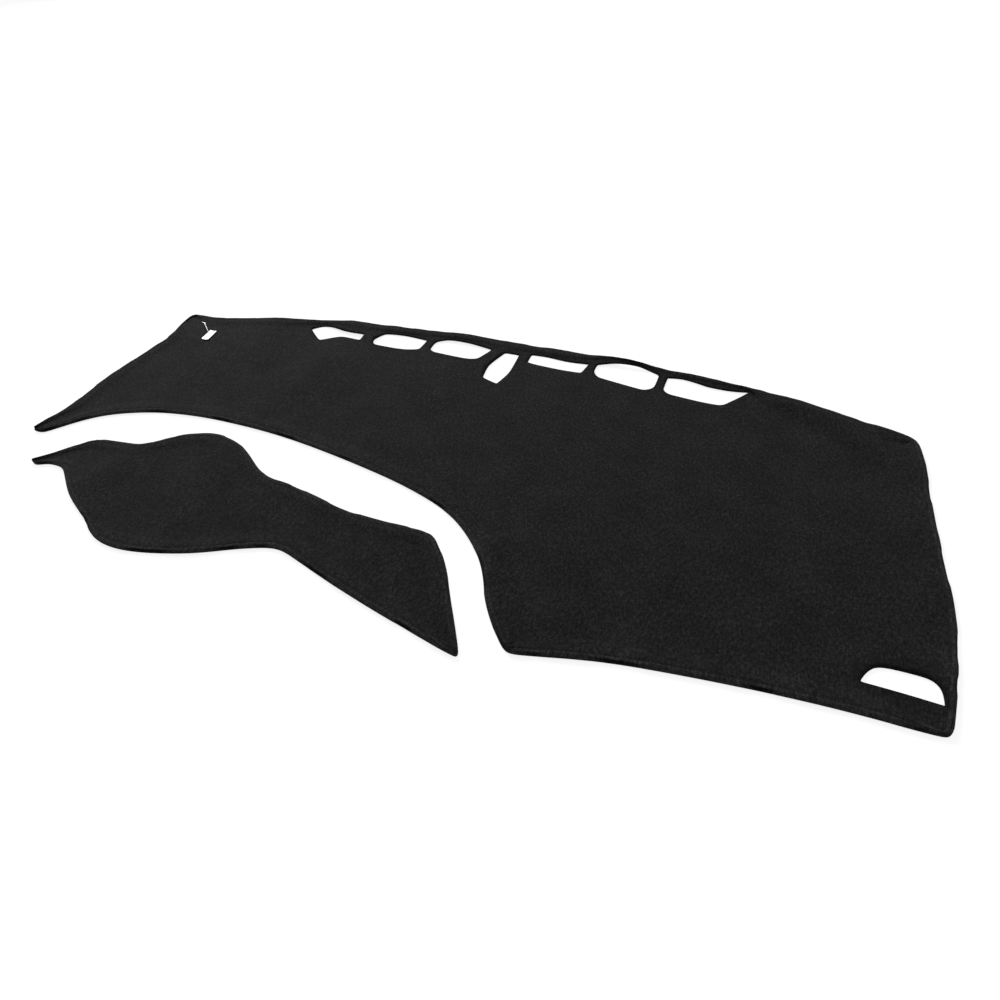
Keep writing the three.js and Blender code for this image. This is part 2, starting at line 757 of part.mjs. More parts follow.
const cut = (points) => stations(outlineCurve(points));
const mainOpenings = [...[...vents, centreOpening].map(openingOutline), halfMoon()].map(cut);
mainOpenings.push(roundHole(pinHole, pinHoleRadius));
addPiece('main_mat', hemmedShell(cut(mainOutline()), mainOpenings, mainWaves), feltLook);
addPiece('hood_mat', hemmedShell(cut(hoodOutline()), [], hoodWaves), feltLook);
addPiece('blank_label', labelGeometry(), cardLook);
addPiece('tag_pin', pinGeometry(), nylonLook);

const middle = new THREE.Box3().setFromObject(part).getCenter(new THREE.Vector3());
part.position.set(-middle.x, -middle.y, 0);

export default part;
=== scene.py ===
import math
import random

import bmesh
import bpy
import numpy as np
from mathutils import Matrix, Vector
from mathutils.bvhtree import BVHTree
from mathutils.kdtree import KDTree


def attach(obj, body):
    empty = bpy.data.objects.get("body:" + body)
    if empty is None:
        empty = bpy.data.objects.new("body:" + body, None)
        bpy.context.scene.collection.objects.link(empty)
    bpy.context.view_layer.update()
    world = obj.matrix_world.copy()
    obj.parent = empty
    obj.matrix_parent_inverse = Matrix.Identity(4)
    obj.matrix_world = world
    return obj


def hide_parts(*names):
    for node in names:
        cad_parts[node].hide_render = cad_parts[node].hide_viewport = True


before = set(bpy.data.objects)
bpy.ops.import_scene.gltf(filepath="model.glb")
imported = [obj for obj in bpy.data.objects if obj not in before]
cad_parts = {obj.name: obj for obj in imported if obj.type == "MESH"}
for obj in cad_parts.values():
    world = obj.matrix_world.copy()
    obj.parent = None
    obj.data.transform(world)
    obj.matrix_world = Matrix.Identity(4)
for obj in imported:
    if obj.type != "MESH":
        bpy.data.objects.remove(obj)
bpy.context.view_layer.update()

# A dashboard cover mat of black felt in two sheets, with a blank white label held by a nylon pin.
# Lengths are in metres.

MILLIMETRE = 0.001

# Felt sheets: the seed for each sheet's loose fibres
MAIN_SEED = 11
HOOD_SEED = 12

# Rounding of the solids: triangles that lie nearly flat to each other are joined to quads, and
# bends sharper than a cut edge's stay sharp
WELD_DISTANCE = 1e-6
JOINED_BEND = math.radians(12)
JOINED_SKEW = math.radians(55)
CUT_EDGE_ANGLE = math.radians(70)
SUBDIVISIONS = 2

# The outer line runs where a face that leans down by this much meets one that leans up by it
LEAST_SLOPE = 0.02

# How the sheet lies: each soft rise as middle, half width, half length, turn and height
RISES = {
    "main_mat": [
        ((0.212, 0.326), 0.060, 0.044, -6, 0.0034),
        ((0.352, 0.312), 0.060, 0.044, -10, 0.0026),
        ((0.098, 0.322), 0.050, 0.030, -3, 0.0014),
        ((-0.098, 0.322), 0.050, 0.034, 4, 0.0016),
        ((-0.218, 0.316), 0.050, 0.034, 8, 0.0016),
        ((-0.345, 0.300), 0.060, 0.036, 12, 0.0020),
        ((0.546, 0.246), 0.034, 0.185, 63, 0.0056),
        ((-0.548, 0.130), 0.050, 0.150, 4, 0.0026),
        ((-0.335, 0.120), 0.050, 0.170, 3, 0.0022),
        ((0.145, -0.145), 0.020, 0.050, -58, 0.0020),
        ((0.655, -0.214), 0.060, 0.022, 0, 0.0012),
    ],
    "hood_mat": [
        ((-0.500, -0.190), 0.045, 0.070, -14, 0.0020),
        ((-0.200, -0.190), 0.050, 0.080, 12, 0.0018),
    ],
}

# Hem: how far it reaches in from the edge, and its ripple
HEM_REACH = 0.02
RIPPLE_HEIGHT = 0.0005
RIPPLE_LENGTH = 0.047
RIPPLE_SHIFT = 1.0

# Seam: each point of a stitch as its share of the length, and its lift and radius in thread radii
SEAM_INSET = 0.0095
LEAST_INSET_SHARE = 0.96
STITCH_PITCH = 0.0042
STITCH_LENGTH = 0.0031
STITCH_POINTS = (
    (-0.5, -1.2, 0.5), (-0.4, 0.1, 0.85), (-0.15, 0.75, 1),
    (0.15, 0.75, 1), (0.4, 0.1, 0.85), (0.5, -1.2, 0.5),
)
THREAD_RADIUS = 0.00036
THREAD_SIDES = 6

# Unevenness along the edge: a quick wave that sways, and a slow one
SWAY = 1.9
SWAY_RATE = 0.31
SLOW_RATE = 0.57

# Gaps along the roll of the hem: pinched spots at uneven distances
GAP_HEIGHT = 0.0030
GAP_RISE = 0.0013
GAP_DEPTH = 0.0018
GAP_REACH = 0.0038
GAP_LENGTH = 0.083
GAP_THRESHOLD = 0.12
GAP_FADE = 0.5
GAP_FULLNESS = 0.7

# Painted light and shade on the hem: where the felt's colour is made lighter or darker, and by what
# share. A painted highlight runs along the crest of the roll, painted shade lies in the seam's
# groove and in the gaps, and painted light lies on the lip and over the hem.
CREST_SETBACK = 0.0026
CREST_WIDTH = 0.0016
CREST_PAINTED_HIGHLIGHT = 0.4
GROOVE_WIDTH = 0.0011
GROOVE_PAINTED_SHADE = 0.3
LIP_WIDTH = 0.0030
LIP_PAINTED_LIGHT = 0.35
HEM_PAINTED_LIGHT = 0.35
HEM_UNEVENNESS = 0.5
HEM_PATCH_LENGTH = 0.11
HEM_PATCH_SHIFT = 2.0
GAP_PAINTED_SHADE = 0.9

# Openings: painted shade darkens the felt near their cut walls. A cut wall is upright, larger than
# a sliver, and open above a point just in front of it.
CUT_PAINTED_SHADE = 0.55
CUT_REACH = 0.0055
WALL_LEAN = 0.01
WALL_AREA = 1e-7
WALL_CLEARANCE = 0.0002

# Loose fibres along the edges
FIBRE_SPACING = 0.0022
FIBRE_WIDTH = 0.00010
FIBRE_LENGTH = (0.0009, 0.0024)
FIBRE_ROOT_DEPTH = 0.0003
FIBRE_SCATTER = 0.5
FIBRE_BEND = 0.3
FIBRE_TAPER = 0.7
FIBRE_TONE = 1.3

# Tag: the label and its hole, the pin's bar on top of the felt and its paddle underneath
LABEL_CENTRE = (-0.59240, 0.18991)
LABEL_TURN = math.radians(4)
LABEL_LENGTH = 0.031
LABEL_WIDTH = 0.015
LABEL_ROUND = 0.001
LABEL_THICKNESS = 0.0006
LABEL_BASE = 0.0058
LABEL_CURL = 0.0016
LABEL_EDGE_ANGLE = math.radians(40)
CURL_ACROSS = 0.75
CURL_ALONG = 0.25
PIN_HOLE = (-0.59674, 0.19462)
PIN_HOLE_RADIUS = 0.0008
PUNCH_SIDES = 20
PUNCH_DEPTH = 0.02
PIN_EDGE_ANGLE = math.radians(50)
FILAMENT_RADIUS = 0.0005
FILAMENT_SIDES = 12
BAR_CENTRE = (-0.63640, 0.22891)
BAR_HEIGHT = 0.0042
BAR_LENGTH = 0.012
BAR_RADIUS = 0.0008
BAR_TURN = math.radians(-18)
BAR_SIDES = 16
PADDLE_SIZE = (0.005, 0.008, 0.0008)
PADDLE_ROUND = 0.001
PADDLE_HEIGHT = 0.0018

# The bar from end to end: share of its half length, and share of its radius there
BAR_PROFILE = (
    (-1, 0.3), (-0.985, 0.6), (-0.95, 0.85), (-0.88, 1), (-0.5, 0.94), (-0.12, 1), (0, 1.12),
    (0.12, 1), (0.5, 0.94), (0.88, 1), (0.95, 0.85), (0.985, 0.6), (1, 0.3),
)

# The filament's loop from the hole to the bar: share of the way, and share of its height
LOOP_HEIGHT = 0.005
LOOP_ROUTE = ((0.12, 0.7), (0.4, 1.0), (0.75, 0.55))
LOOP_STEPS = 10

# Colours of each surface, from its darkest spots to its lightest
FELT_SHADES = [
    (0.44, (0.0034, 0.0034, 0.0036)),
    (0.53, (0.0080, 0.0080, 0.0082)),
    (0.63, (0.0185, 0.0185, 0.0188)),
]
THREAD_SHADES = [(0.35, (0.006, 0.006, 0.007)), (0.65, (0.020, 0.020, 0.021))]
CARD_SHADES = [(0.3, (0.82, 0.82, 0.82)), (0.7, (0.88, 0.88, 0.88))]
NYLON_SHADES = [(0.3, (0.72, 0.73, 0.74)), (0.7, (0.82, 0.83, 0.84))]

# Felt's grain: the ways its strands run, its rows of needle marks, and the share of each layer
STRAND_TURNS = (8, 63, 121)
STRAND_STRETCH = (1, 4, 1)
ROW_TURN = -24
ROW_STRETCH = (1, 0.4, 1)
TANGLE_SHARE = 0.34
MOTTLE_SHARE = 0.36
ROW_SHARE = 0.3
PATCH_SHARE = 0.10

# Camera: in front of the mat and right of its middle, looking down on both sheets
CAMERA_PLACE = (0.4188, -0.7224, 0.7240)
CAMERA_HEADING = math.radians(24.3)
CAMERA_DIP = math.radians(45.05)
CAMERA_ROLL = math.radians(-4.98)
CAMERA_LENS = 25.2
CAMERA_SENSOR = 36

# Stage: a wide white floor, even light all round, and one soft light from behind on the left
FLOOR_SIDE = 12
FLOOR_COLOUR = (0.95, 0.95, 0.95, 1)
FLOOR_GLOW = 0.8
WORLD_COLOUR = (1, 1, 1, 1)
WORLD_LEVEL = 0.8
KEY_PLACE = (-2.6, 3.1, 2.2)
KEY_SIZE = 2.0
KEY_POWER = 290


# Materials

class Nodes:
    """Builds one procedural material, node by node."""

    def __init__(self, name):
        self.material = bpy.data.materials.new(name)
        self.material.use_nodes = True
        self.tree = self.material.node_tree
        self.shader = self.tree.nodes["Principled BSDF"]
        self.output = self.tree.nodes["Material Output"]
        self.place = self.add("ShaderNodeTexCoord").outputs["Object"]

    def add(self, kind, **settings):
        node = self.tree.nodes.new(kind)
        for key, value in settings.items():
            setattr(node, key, value)
        return node

    def link(self, start, end):
        self.tree.links.new(start, end)

    def noise(self, scale, detail=2.0, roughness=0.5, distortion=0.0, place=None):
        node = self.add("ShaderNodeTexNoise")
        self.link(place or self.place, node.inputs["Vector"])
        node.inputs["Scale"].default_value = scale
        node.inputs["Detail"].default_value = detail
        node.inputs["Roughness"].default_value = roughness
        node.inputs["Distortion"].default_value = distortion
        return node.outputs["Fac"]

    def stretched(self, turn, stretch):
        """The place turned about Z and drawn out along one side, for fibres that run one way."""
        node = self.add("ShaderNodeMapping")
        self.link(self.place, node.inputs["Vector"])
        node.inputs["Rotation"].default_value = (0, 0, turn)
        node.inputs["Scale"].default_value = stretch
        return node.outputs["Vector"]

    def math(self, operation, first, second):
        """One operation on two values, each a number or another node's output."""
        node = self.add("ShaderNodeMath", operation=operation)
        for socket, value in zip(node.inputs, (first, second)):
            if isinstance(value, (int, float)):
                socket.default_value = value
            else:
                self.link(value, socket)
        return node.outputs[0]

    def ramp(self, factor, stops):
        """A colour that goes through the stops as the factor rises."""
        node = self.add("ShaderNodeValToRGB")
        self.link(factor, node.inputs["Fac"])
        elements = node.color_ramp.elements
        while len(elements) < len(stops):
            elements.new(0.5)
        for element, (position, colour) in zip(elements, stops):
            element.position = position
            element.color = (*colour, 1)
        return node.outputs["Color"]

    def scaled(self, colour, factor):
        node = self.add("ShaderNodeVectorMath", operation="SCALE")
        self.link(colour, node.inputs[0])
        self.link(factor, node.inputs["Scale"])
        return node.outputs[0]

    def bump(self, height, distance, strength=1.0, normal=None):
        node = self.add("ShaderNodeBump")
        self.link(height, node.inputs["Height"])
        node.inputs["Distance"].default_value = distance
        node.inputs["Strength"].default_value = strength
        if normal is not None:
            self.link(normal, node.inputs["Normal"])
        return node.outputs["Normal"]

    def set(self, **values):
        """Gives the shader's sockets a number, a colour or another node's output."""
        for name, value in values.items():
            socket = self.shader.inputs[name.replace("_", " ")]
            if hasattr(value, "is_output"):
                self.link(value, socket)
            else:
                socket.default_value = value


def felt_material():
    """Needle-punched felt: tangled fibres, rows of needle marks and a soft, uneven black."""
    n = Nodes("black_felt")
    strands = [n.noise(scale=300, detail=3, roughness=0.6, distortion=0.5,
                       place=n.stretched(math.radians(turn), STRAND_STRETCH))
               for turn in STRAND_TURNS]
    tangle = n.math("MAXIMUM", n.math("MAXIMUM", strands[0], strands[1]), strands[2])
    mottle = n.noise(scale=290, detail=4, roughness=0.7)
    rows = n.noise(scale=380, detail=2, roughness=0.6, distortion=0.2,
                   place=n.stretched(math.radians(ROW_TURN), ROW_STRETCH))
    patches = n.noise(scale=16, detail=3, roughness=0.55)
    shade = n.math("ADD", n.math("MULTIPLY", tangle, TANGLE_SHARE),
                   n.math("MULTIPLY", mottle, MOTTLE_SHARE))
    shade = n.math("ADD", shade, n.math("MULTIPLY", rows, ROW_SHARE))
    unevenness = n.math("SUBTRACT", patches, 0.5)
    shade = n.math("ADD", shade, n.math("MULTIPLY", unevenness, PATCH_SHARE))
    tint = n.ramp(shade, FELT_SHADES)
    # The felt's colour is multiplied by the painted light and shade on the sheets' hems and
    # openings, and by the loose fibres' lighter tone
    tone_with_painted_light_and_shade = n.add("ShaderNodeAttribute", attribute_name="tone_with_painted_light_and_shade").outputs["Fac"]
    n.set(Base_Color=n.scaled(tint, tone_with_painted_light_and_shade))
    coarse = n.bump(mottle, distance=1.1 * MILLIMETRE, strength=0.7)
    n.set(Normal=n.bump(tangle, distance=0.5 * MILLIMETRE, strength=0.9, normal=coarse))
    n.set(Roughness=1.0, Specular_IOR_Level=0.03, Sheen_Weight=0.012, Sheen_Roughness=0.6)
    return n.material


def thread_material():
    """Black sewing thread with the twist of its strands."""
    n = Nodes("black_thread")
    twist = n.noise(scale=1500, detail=2, roughness=0.5)
    n.set(Base_Color=n.ramp(twist, THREAD_SHADES),
          Normal=n.bump(twist, distance=0.1 * MILLIMETRE),
          Roughness=0.8, Specular_IOR_Level=0.08)
    return n.material


def card_material():
    """Matt white card with a faint grain."""
    n = Nodes("white_card")
    grain = n.noise(scale=900, detail=3, roughness=0.6)
    n.set(Base_Color=n.ramp(grain, CARD_SHADES),
          Normal=n.bump(grain, distance=0.03 * MILLIMETRE),
          Roughness=0.55)
    return n.material


def nylon_material():
    """Milky nylon, slightly cloudy."""
    n = Nodes("white_nylon")
    cloud = n.noise(scale=300, detail=2, roughness=0.5)
    n.set(Base_Color=n.ramp(cloud, NYLON_SHADES),
          Normal=n.bump(cloud, distance=0.02 * MILLIMETRE),
          Roughness=0.35, Subsurface_Weight=0.1, Subsurface_Scale=0.5 * MILLIMETRE)
    return n.material


# Shared shapes

def add_object(name, mesh, material):
    """An object in the scene with one material all over."""
    obj = bpy.data.objects.new(name, mesh)
    bpy.context.scene.collection.objects.link(obj)
    mesh.materials.clear()
    mesh.materials.append(material)
    return obj


def mesh_of(name, vertices, faces):
    """A smooth-shaded mesh."""
    mesh = bpy.data.meshes.new(name)
    mesh.from_pydata([tuple(v) for v in vertices], [], faces)
    mesh.validate()
    mesh.shade_smooth()
    return mesh


def closed_sides(line):
    """Each point of a closed line with the one after it."""
    return zip(line, line[1:] + line[:1])


def tree_of(mesh):
    """The mesh as a search tree for rays."""
    mesh.calc_loop_triangles()
    return BVHTree.FromPolygons([v.co for v in mesh.vertices],
                                [tuple(t.vertices) for t in mesh.loop_triangles])


def swept(points, radii, sides, start=0):
    """Vertices and faces of a closed tube along some points, with its own radius at each.

    The faces count their vertices from start.
    """
    points = [Vector(p) for p in points]
    vertices = []
    side_way = None
    for i, point in enumerate(points):
        along = (points[min(i + 1, len(points) - 1)] - points[max(i - 1, 0)]).normalized()
        if side_way is None:
            side_way = along.orthogonal()
        side_way = (side_way - along * side_way.dot(along)).normalized()
        up = along.cross(side_way)
        for k in range(sides):
            angle = 2 * math.pi * k / sides
            outward = math.cos(angle) * side_way + math.sin(angle) * up
            vertices.append(point + radii[i] * outward)
    faces = []
    for i in range(len(points) - 1):
        for k in range(sides):
            a = start + i * sides + k
            b = start + i * sides + (k + 1) % sides
            faces.append((a, b, b + sides, a + sides))
    last = start + (len(points) - 1) * sides
    faces.append(tuple(start + k for k in reversed(range(sides))))
    faces.append(tuple(last + k for k in range(sides)))
    return vertices, faces


def refined(mesh, levels):
    """The mesh with its creased edges kept sharp and everything else rounded by subdivision."""
    carrier = bpy.data.objects.new("carrier", mesh)
    bpy.context.scene.collection.objects.link(carrier)
    surface = carrier.modifiers.new("rounding", "SUBSURF")
    surface.levels = levels
    surface.render_levels = levels
    graph = bpy.context.evaluated_depsgraph_get()
    finished = bpy.data.meshes.new_from_object(carrier.evaluated_get(graph))
    bpy.data.objects.remove(carrier)
    return finished


# Felt sheets

def outer_edge(shape):
    """The sheet's outermost line, in order: where the fold's face turns from up to down."""
    facing = {face: face.normal.z for face in shape.faces}
    steps = {}
    for edge in shape.edges:
        if len(edge.link_faces) == 2:
            heights = sorted(facing[face] for face in edge.link_faces)
            if heights[0] < -LEAST_SLOPE and heights[1] > LEAST_SLOPE:
                a, b = edge.verts
                steps.setdefault(a.index, []).append(b.index)
                steps.setdefault(b.index, []).append(a.index)
    start = next(iter(steps))
    line = [start]
    before = None
    while True:
        here = line[-1]
        following = [v for v in steps[here] if v != before]
        before = here
        if following[0] == start or (len(line) > 2 and start in following):
            break
        line.append(following[0])
    places = [shape.verts[v].co.copy() for v in line]
    area = sum(a.x * b.y - b.x * a.y for a, b in closed_sides(places))
    return places if area > 0 else places[::-1]


def edge_measure(places, line):
    """For each place: how far it is from the outer line, how far along the line, and the way in."""
    starts = np.array([(p.x, p.y) for p in line])
    ends = np.roll(starts, -1, axis=0)
    sides = ends - starts
    lengths = np.linalg.norm(sides, axis=1)
    travelled = np.concatenate([[0], np.cumsum(lengths)[:-1]])
    least = np.full(len(places), np.inf)
    along = np.zeros(len(places))
    inward = np.zeros((len(places), 2))
    for start, side, length, before in zip(starts, sides, lengths, travelled):
        offset = places[:, :2] - start
        share = np.clip(offset @ side / length ** 2, 0, 1)
        distance = np.linalg.norm(offset - share[:, None] * side, axis=1)
        nearer = distance < least
        least = np.where(nearer, distance, least)
        along = np.where(nearer, before + share * length, along)
        inward[nearer] = np.array((-side[1], side[0])) / length
    return least, along, inward


def hump(share):
    """A smooth hump: one in the middle, and nothing from -1 down and from 1 up."""
    return np.where(np.abs(share) < 1, (1 - share ** 2) ** 2, 0.0)


def rise_at(places, rises):
    """How far the soft rises lift each place."""
    total = np.zeros(len(places))
    for (x, y), half_width, half_length, turn, height in rises:
        c, s = math.cos(math.radians(turn)), math.sin(math.radians(turn))
        across = c * (places[:, 0] - x) + s * (places[:, 1] - y)
        along = -s * (places[:, 0] - x) + c * (places[:, 1] - y)
        total += height * hump(across / half_width) * hump(along / half_length)
    return total


def wander(along, length, shift=0.0):
    """A number from -1 to 1 that wanders along the edge."""
    turn = 2 * math.pi * along / length
    quick = turn + shift + SWAY * np.sin(SWAY_RATE * turn)
    slow = SLOW_RATE * turn + 2 * shift
    return 0.5 * np.sin(quick) + 0.5 * np.sin(slow)


def cut_distance(mesh, places):
    """How far each place is from the nearest opening's wall."""
    cover = tree_of(mesh)
    corners = set()
    for face in mesh.polygons:
        if abs(face.normal.z) < WALL_LEAN and face.area > WALL_AREA:
            top = max(face.vertices, key=lambda v: mesh.vertices[v].co.z)
            start = mesh.vertices[top].co + face.normal * WALL_CLEARANCE
            if cover.ray_cast(start, Vector((0, 0, 1)))[0] is None:
                corners.update(face.vertices)
    tree = KDTree(len(corners))
    for v in corners:
        tree.insert(Vector(places[v]).xy.to_3d(), v)
    tree.balance()
    return np.array([tree.find(Vector((x, y, 0)))[2] if corners else 1.0
                     for x, y in places[:, :2]])


def dress(mesh, line, rises):
    """Lays the sheet in its soft rises, opens the hem's gaps and writes painted light and shade on
    the hem and near the openings.
    """
    count = len(mesh.vertices)
    places = np.empty(count * 3)
    mesh.vertices.foreach_get("co", places)
    places = places.reshape(count, 3)
    distance, along, inward = edge_measure(places, line)
    line_height = np.array([p.z for p in line])
    lengths = [(b - a).xy.length for a, b in closed_sides(line)]
    travelled = np.concatenate([[0], np.cumsum(lengths)])
    middle = np.interp(along, travelled, np.append(line_height, line_height[0]))
    height = places[:, 2] - middle
    on_top = height > 0

    spots = np.clip((wander(along, GAP_LENGTH) - GAP_THRESHOLD) / GAP_FADE, 0, 1) ** GAP_FULLNESS
    band = hump((height - GAP_RISE) / GAP_HEIGHT) * (distance < GAP_REACH)
    push = GAP_DEPTH * spots * band
    places[:, 0] += inward[:, 0] * push
    places[:, 1] += inward[:, 1] * push

    hem = np.clip(1 - distance / HEM_REACH, 0, 1)
    ripple = RIPPLE_HEIGHT * hem * wander(along, RIPPLE_LENGTH, RIPPLE_SHIFT) * on_top
    places[:, 2] += rise_at(places, rises) + ripple

    # Painted highlight along the crest of the hem's roll
    crest_highlight = np.exp(-((distance - SEAM_INSET + CREST_SETBACK) / CREST_WIDTH) ** 2) * on_top
    # Painted shade in the seam's groove
    groove_shade = np.exp(-((distance - SEAM_INSET) / GROOVE_WIDTH) ** 2) * on_top
    # Painted light on the lip along the outer edge
    lip_light = np.exp(-(distance / LIP_WIDTH) ** 2)
    # Painted light over the top of the hem, in uneven patches along the edge
    patches = 1 + HEM_UNEVENNESS * wander(along, HEM_PATCH_LENGTH, HEM_PATCH_SHIFT)
    tone_with_painted_light_and_shade = 1 + CREST_PAINTED_HIGHLIGHT * crest_highlight - GROOVE_PAINTED_SHADE * groove_shade + LIP_PAINTED_LIGHT * lip_light
    tone_with_painted_light_and_shade += HEM_PAINTED_LIGHT * hem * on_top * patches
    # Painted shade in the gaps along the roll
    tone_with_painted_light_and_shade *= 1 - GAP_PAINTED_SHADE * spots * band
    # Painted shade near the openings' cut walls
    tone_with_painted_light_and_shade *= 1 - CUT_PAINTED_SHADE * np.exp(-(cut_distance(mesh, places) / CUT_REACH) ** 2)
    mesh.vertices.foreach_set("co", places.ravel())
    # The painted light and shade is stored on each vertex for the felt's material
    attribute = mesh.attributes.new("tone_with_painted_light_and_shade", "FLOAT", "POINT")
    attribute.data.foreach_set("value", tone_with_painted_light_and_shade)
    mesh.update()


def inset_place(line, along_target, inset):
    """A point some way along the outer line and in from it, and the way the line runs there."""
    total = 0.0
    for a, b in closed_sides(line):
        length = (b - a).xy.length
        if total + length >= along_target:
            side = (b - a).xy.normalized()
            spot = a.xy + side * (along_target - total)
            return spot + inset * Vector((-side.y, side.x)), side
        total += length
    raise ValueError("the place lies beyond the end of the line")


def seam(name, mesh, line, material):
    """Thread stitches in a row in the hem's groove, none where a corner brings the edge nearer."""
    tree = tree_of(mesh)
    vertices, faces = [], []
    perimeter = sum((b - a).xy.length for a, b in closed_sides(line))
    for step in range(int(perimeter / STITCH_PITCH)):
        spot, side = inset_place(line, (step + 0.5) * STITCH_PITCH, SEAM_INSET)
        nearest, _, _ = edge_measure(np.array([[spot.x, spot.y]]), line)
        if nearest[0] < LEAST_INSET_SHARE * SEAM_INSET:
            continue
        route, radii = [], []
        for share, lift, width in STITCH_POINTS:
            place = spot + side * share * STITCH_LENGTH
            hit = tree.ray_cast(Vector((place.x, place.y, 1)), Vector((0, 0, -1)))[0]
            if hit is None:
                break
            route.append(hit + Vector((0, 0, lift * THREAD_RADIUS)))
            radii.append(width * THREAD_RADIUS)
        if len(route) == len(STITCH_POINTS):
            more, quads = swept(route, radii, THREAD_SIDES, len(vertices))
            vertices.extend(more)
            faces.extend(quads)
    piece = add_object(name, mesh_of(name, vertices, faces), material)
    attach(piece, "root")
    return piece


def fuzz(name, mesh, draws, material):
    """Loose fibres that stand off the raw cut edges and the hem."""
    vertices, faces = [], []
    sharp = mesh.attributes.get("sharp_edge")
    for index, edge in enumerate(mesh.edges):
        if not sharp.data[index].value:
            continue
        a, b = (mesh.vertices[v] for v in edge.vertices)
        length = (b.co - a.co).length
        for _ in range(int(length / FIBRE_SPACING + draws.random())):
            root = a.co.lerp(b.co, draws.random())
            out = (a.normal + b.normal).normalized()
            aim = out + Vector([draws.gauss(0, FIBRE_SCATTER) for _ in range(3)])
            aim = aim.normalized() * draws.uniform(*FIBRE_LENGTH)
            bend = Vector([draws.gauss(0, FIBRE_BEND) for _ in range(3)]) * aim.length
            wide = aim.orthogonal().normalized() * FIBRE_WIDTH
            start = len(vertices)
            for share in (0.0, 0.5, 1.0):
                spot = root - out * FIBRE_ROOT_DEPTH + aim * share + bend * share * share
                spot.z = max(spot.z, FIBRE_WIDTH)
                half = wide * (1 - FIBRE_TAPER * share)
                vertices.extend([spot - half, spot + half])
            faces.extend([(start, start + 1, start + 3, start + 2),
                          (start + 2, start + 3, start + 5, start + 4)])
    fibres = mesh_of(name, vertices, faces)
    attribute = fibres.attributes.new("tone_with_painted_light_and_shade", "FLOAT", "POINT")
    attribute.data.foreach_set("value", [FIBRE_TONE] * len(fibres.vertices))
    piece = add_object(name, fibres, material)
    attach(piece, "root")
    return piece


def felt_sheet(node, name, material, thread, draws):
    """The sheet's solid, rounded: the hem as a soft roll, and the openings as straight cuts."""
    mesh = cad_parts[node].data.copy()
    shape = bmesh.new()
    shape.from_mesh(mesh)
    bmesh.ops.remove_doubles(shape, verts=shape.verts, dist=WELD_DISTANCE)
    shape.verts.index_update()
    shape.verts.ensure_lookup_table()
    shape.normal_update()
    line = outer_edge(shape)
    bmesh.ops.join_triangles(shape, faces=shape.faces, angle_face_threshold=JOINED_BEND,
                             angle_shape_threshold=JOINED_SKEW)
    crease = shape.edges.layers.float.new("crease_edge")
    for edge in shape.edges:
        if edge.calc_face_angle(0) > CUT_EDGE_ANGLE:
            edge[crease] = 1
    shape.to_mesh(mesh)
    shape.free()
    finished = refined(mesh, SUBDIVISIONS)
    dress(finished, line, RISES[node])
    finished.shade_smooth()
    finished.set_sharp_from_angle(angle=CUT_EDGE_ANGLE)
    piece = add_object(name, finished, material)
    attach(piece, "root")
    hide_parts(node)
    extras = [seam(name + "_seam", finished, line, thread),
              fuzz(name + "_fibres", finished, draws, material)]
    return piece


# Tag

def plate(length, width, thickness, corner, curl, rows=24, columns=12):
    """A thin rounded card, centred on its own middle, that curls up towards its edges."""
    vertices, faces = [], []
    for level in (0, 1):
        for i in range(rows + 1):
            along = -length / 2 + length * i / rows
            short = max(0.0, abs(along) - (length / 2 - corner))
            half = width / 2 - corner + math.sqrt(max(corner ** 2 - short ** 2, 0))
            for k in range(columns + 1):
                across = -half + 2 * half * k / columns
                lift = curl * (CURL_ACROSS * (2 * across / width) ** 2
                               + CURL_ALONG * (2 * along / length) ** 2)
                vertices.append((across, along, lift + level * thickness))
    level_size = (rows + 1) * (columns + 1)
    for i in range(rows):
        for k in range(columns):
            a = i * (columns + 1) + k
            b, c, d = a + 1, a + columns + 2, a + columns + 1
            faces.append((a, d, c, b))
            faces.append(tuple(level_size + v for v in (a, b, c, d)))
    rim = ([i * (columns + 1) for i in range(rows + 1)]
           + [rows * (columns + 1) + k for k in range(1, columns + 1)]
           + [i * (columns + 1) + columns for i in reversed(range(rows))]
           + [k for k in reversed(range(1, columns))])
    for a, b in closed_sides(rim):
        faces.append((a, a + level_size, b + level_size, b))
    return vertices, faces


def label_piece(material):
    """The blank card: slightly curled, with a small hole for the pin."""
    vertices, faces = plate(LABEL_LENGTH, LABEL_WIDTH, LABEL_THICKNESS, LABEL_ROUND, LABEL_CURL)
    place = (Matrix.Translation((*LABEL_CENTRE, LABEL_BASE))
             @ Matrix.Rotation(LABEL_TURN, 4, "Z"))
    mesh = mesh_of("label", [place @ Vector(v) for v in vertices], faces)
    card = add_object("label", mesh, material)
    shape = bmesh.new()
    bmesh.ops.create_cone(shape, cap_ends=True, segments=PUNCH_SIDES, radius1=PIN_HOLE_RADIUS,
                          radius2=PIN_HOLE_RADIUS, depth=PUNCH_DEPTH)
    cutter_mesh = bpy.data.meshes.new("punch")
    shape.to_mesh(cutter_mesh)
    shape.free()
    punch = bpy.data.objects.new("punch", cutter_mesh)
    punch.location = (*PIN_HOLE, LABEL_BASE)
    bpy.context.scene.collection.objects.link(punch)
    cut = card.modifiers.new("hole", "BOOLEAN")
    cut.operation = "DIFFERENCE"
    cut.object = punch
    graph = bpy.context.evaluated_depsgraph_get()
    card.data = bpy.data.meshes.new_from_object(card.evaluated_get(graph))
    card.modifiers.clear()
    bpy.data.objects.remove(punch)
    card.data.shade_smooth()
    card.data.set_sharp_from_angle(angle=LABEL_EDGE_ANGLE)
    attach(card, "root")
    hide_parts("blank_label")
    return card


